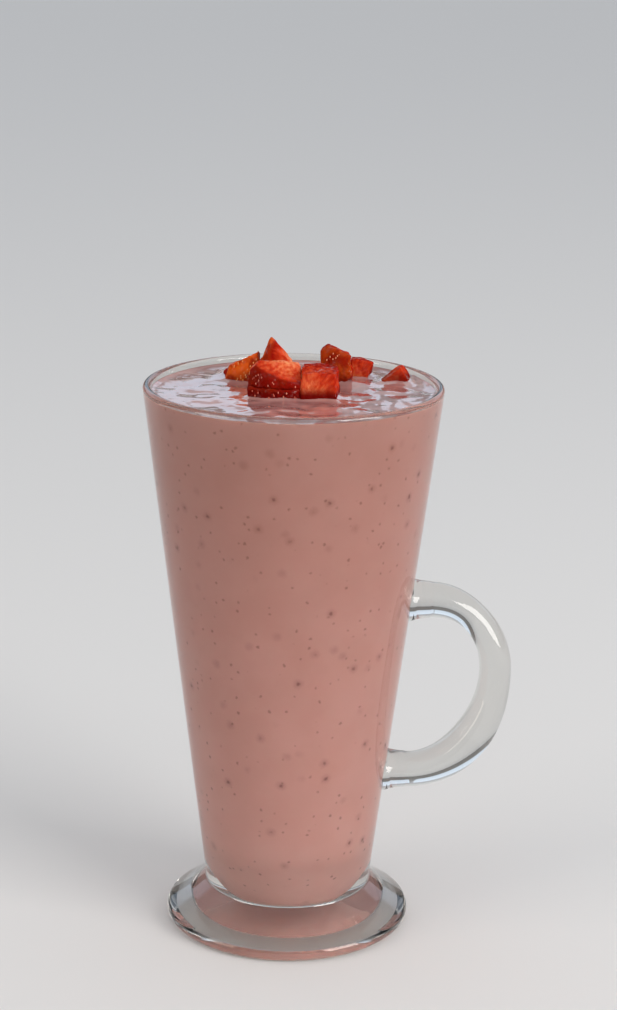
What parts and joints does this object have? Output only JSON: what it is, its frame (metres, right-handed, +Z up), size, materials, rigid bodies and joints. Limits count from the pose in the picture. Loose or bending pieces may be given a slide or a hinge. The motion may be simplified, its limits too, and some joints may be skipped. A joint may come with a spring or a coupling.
{
  "type": "strawberry smoothie",
  "caption": "Thick pink smoothie filled to the rim of a tall tapered glass mug with a solid round foot and an ear handle, topped with diced strawberries.",
  "frame": {"origin": "centre of the foot's flat underside, on the axis of the glass", "axes": "+Z up along the glass, +X towards the handle, -Y towards the viewer of the picture"},
  "size_m": [0.1002, 0.0798, 0.1609],
  "materials": {
    "clear_glass": "clear, polished",
    "pink_drink": "wet, opaque, with fine dark red specks",
    "strawberry": "wet fruit: red skin with seeds, orange to pale flesh on the cut faces"
  },
  "bodies": {
    "root": {"glass": "clear_glass", "smoothie": "pink_drink", "strawberry_left": "strawberry", "strawberry_peak": "strawberry", "strawberry_front_left": "strawberry", "strawberry_slice": "strawberry", "strawberry_front_right": "strawberry", "strawberry_tall": "strawberry", "strawberry_back": "strawberry", "strawberry_right": "strawberry"}
  },
  "joints": []
}
